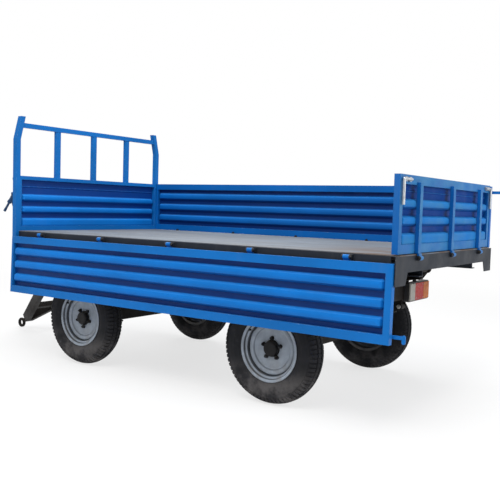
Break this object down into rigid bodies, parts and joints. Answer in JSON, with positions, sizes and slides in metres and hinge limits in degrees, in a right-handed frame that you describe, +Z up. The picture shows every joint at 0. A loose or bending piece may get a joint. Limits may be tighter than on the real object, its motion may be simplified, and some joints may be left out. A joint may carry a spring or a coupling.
{
  "type": "farm tipping trailer",
  "caption": "Farm tipping trailer with ribbed drop sides, tailgate, guarded headboard, turntable steering, leaf springs, hinged drawbar and a telescopic tipping ram.",
  "frame": {"origin": "on the ground, below the middle of the overall length and width", "axes": "+X towards the drawbar, +Y to the trailer's left, +Z up"},
  "size_m": [4.639, 1.8564, 2.025],
  "materials": {
    "blue_paint": "gloss enamel",
    "floor_paint": "scuffed grey paint",
    "dark_grey_paint": "satin",
    "chassis_paint": "dusty satin black",
    "rim_paint": "silver paint",
    "tyre_rubber": "matte, dusty",
    "hub_metal": "greased",
    "bright_steel": "galvanized",
    "ram_steel": "polished",
    "pad_rubber": "matte",
    "lens_white": "clear lens",
    "lens_red": "clear lens",
    "lens_amber": "clear lens",
    "lamp_black": "matte"
  },
  "bodies": {
    "chassis": {"bed_rest_pads": "pad_rubber", "chassis_cross_members": "chassis_paint", "chassis_rails": "chassis_paint", "lamp_housings": "lamp_black", "lamp_lenses_amber": "lens_amber", "lamp_lenses_red": "lens_red", "lamp_lenses_white": "lens_white", "ram_cradle": "chassis_paint", "rear_axle": "chassis_paint", "rear_lamp_bar": "chassis_paint", "rear_leaf_springs": "chassis_paint", "rear_spring_clamps": "chassis_paint", "rear_spring_hangers": "chassis_paint", "tip_shaft": "chassis_paint", "turntable_upper_ring": "chassis_paint"},
    "bogie": {"bogie_frame": "chassis_paint", "front_axle": "chassis_paint", "front_leaf_springs": "chassis_paint", "front_spring_clamps": "chassis_paint", "turntable_lower_ring": "chassis_paint"},
    "drawbar": {"drawbar_frame": "chassis_paint", "tow_eye": "chassis_paint"},
    "bed": {"bed_cross_members": "chassis_paint", "bed_floor": "floor_paint", "bed_rails": "dark_grey_paint", "bed_tipping_brackets": "chassis_paint", "headboard_frame": "blue_paint", "headboard_guard": "blue_paint", "headboard_posts": "blue_paint", "headboard_sheet": "blue_paint", "panel_hinge_brackets": "dark_grey_paint", "rear_beam": "dark_grey_paint"},
    "side_left": {"side_left_frame": "blue_paint", "side_left_hook": "blue_paint", "side_left_sheet": "blue_paint", "side_left_stiffeners": "blue_paint"},
    "side_right": {"side_right_frame": "blue_paint", "side_right_hook": "blue_paint", "side_right_sheet": "blue_paint", "side_right_stiffeners": "blue_paint"},
    "tailgate": {"tailgate_frame": "blue_paint", "tailgate_latches": "bright_steel", "tailgate_sheet": "blue_paint", "tailgate_stiffeners": "blue_paint"},
    "ram_barrel": {"ram_barrel": "chassis_paint"},
    "ram_stage_1": {"ram_stage_1": "ram_steel"},
    "ram_stage_2": {"ram_stage_2": "ram_steel"},
    "ram_stage_3": {"ram_stage_3": "ram_steel"},
    "wheel_front_left": {"wheel_front_left_hub": "hub_metal", "wheel_front_left_rim": "rim_paint", "wheel_front_left_tyre": "tyre_rubber"},
    "wheel_front_right": {"wheel_front_right_hub": "hub_metal", "wheel_front_right_rim": "rim_paint", "wheel_front_right_tyre": "tyre_rubber"},
    "wheel_rear_left": {"wheel_rear_left_hub": "hub_metal", "wheel_rear_left_rim": "rim_paint", "wheel_rear_left_tyre": "tyre_rubber"},
    "wheel_rear_right": {"wheel_rear_right_hub": "hub_metal", "wheel_rear_right_rim": "rim_paint", "wheel_rear_right_tyre": "tyre_rubber"}
  },
  "joints": [
    {"name": "steer", "type": "hinge", "parent": "chassis", "child": "bogie", "pos_m": [0.5095, 0, 0.725], "axis": [0, 0, 1], "range_deg": [-30, 30]},
    {"name": "drawbar_lift", "type": "hinge", "parent": "bogie", "child": "drawbar", "pos_m": [1.2105, 0, 0.69], "axis": [0, -1, 0], "range_deg": [0, 80]},
    {"name": "bed_tip", "type": "hinge", "parent": "chassis", "child": "bed", "pos_m": [-1.8945, 0, 0.88], "axis": [0, -1, 0], "range_deg": [0, 45]},
    {"name": "side_left_drop", "type": "hinge", "parent": "bed", "child": "side_left", "pos_m": [-0.5095, 0.8885, 1.031], "axis": [1, 0, 0], "range_deg": [0, 178.2]},
    {"name": "side_right_drop", "type": "hinge", "parent": "bed", "child": "side_right", "pos_m": [-0.5095, -0.8885, 1.031], "axis": [1, 0, 0], "range_deg": [0, 178.2]},
    {"name": "tailgate_drop", "type": "hinge", "parent": "bed", "child": "tailgate", "pos_m": [-2.2665, 0, 1.031], "axis": [0, -1, 0], "range_deg": [0, 178.2]},
    {"name": "ram_swing", "type": "hinge", "parent": "chassis", "child": "ram_barrel", "pos_m": [-0.7095, 0, 0.55], "axis": [0, -1, 0], "range_deg": [0, 18.84]},
    {"name": "ram_slide_1", "type": "slide", "parent": "ram_barrel", "child": "ram_stage_1", "axis": [0, 0, 1], "range_m": [0, 0.2985]},
    {"name": "ram_slide_2", "type": "slide", "parent": "ram_stage_1", "child": "ram_stage_2", "axis": [0, 0, 1], "range_m": [0, 0.2985]},
    {"name": "ram_slide_3", "type": "slide", "parent": "ram_stage_2", "child": "ram_stage_3", "axis": [0, 0, 1], "range_m": [0, 0.2985]},
    {"name": "wheel_front_left_spin", "type": "hinge", "parent": "bogie", "child": "wheel_front_left", "pos_m": [0.5095, 0.727, 0.372], "axis": [0, 1, 0], "continuous": true},
    {"name": "wheel_front_right_spin", "type": "hinge", "parent": "bogie", "child": "wheel_front_right", "pos_m": [0.5095, -0.727, 0.372], "axis": [0, 1, 0], "continuous": true},
    {"name": "wheel_rear_left_spin", "type": "hinge", "parent": "chassis", "child": "wheel_rear_left", "pos_m": [-1.3215, 0.727, 0.372], "axis": [0, 1, 0], "continuous": true},
    {"name": "wheel_rear_right_spin", "type": "hinge", "parent": "chassis", "child": "wheel_rear_right", "pos_m": [-1.3215, -0.727, 0.372], "axis": [0, 1, 0], "continuous": true}
  ],
  "couplings": [
    {"joint": "ram_swing", "follows": "bed_tip", "ratio": 0.40745},
    {"joint": "ram_slide_1", "follows": "bed_tip", "m_per_rad": 0.37753},
    {"joint": "ram_slide_2", "follows": "bed_tip", "m_per_rad": 0.37753},
    {"joint": "ram_slide_3", "follows": "bed_tip", "m_per_rad": 0.37753}
  ]
}
